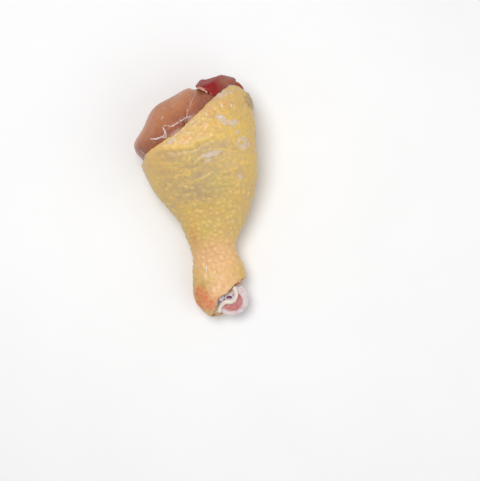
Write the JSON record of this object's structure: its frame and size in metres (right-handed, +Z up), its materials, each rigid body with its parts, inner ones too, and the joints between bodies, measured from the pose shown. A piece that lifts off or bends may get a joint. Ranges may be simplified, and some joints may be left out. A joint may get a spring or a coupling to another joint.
{
  "type": "raw chicken drumstick",
  "caption": "Raw chicken drumstick on its side: pimpled yellow skin drawn back from bare meat at the knee, with a cut, rounded joint and a bent tendon at the ankle.",
  "frame": {"origin": "middle of the bounding box's base, on the surface that the drumstick lies on", "axes": "+Y along the leg from the ankle to the knee, +X towards the shin side, +Z up through the side that shows"},
  "size_m": [0.0611, 0.1194, 0.0461],
  "materials": {
    "skin": "satin",
    "meat": "satin",
    "red_meat": "satin",
    "bone": "satin",
    "cartilage": "gloss",
    "sinew": "satin",
    "blood": "satin"
  },
  "bodies": {
    "root": {"skin": "skin", "calf_muscle": "meat", "middle_muscle": "meat", "shin_muscle": "meat", "under_muscle": "meat", "red_muscle": "red_meat", "tibia": "bone", "knee_cartilage": "cartilage", "ankle_cartilage": "cartilage", "ankle_tissue": "sinew", "ankle_tendon": "sinew", "vein": "blood"}
  },
  "joints": []
}
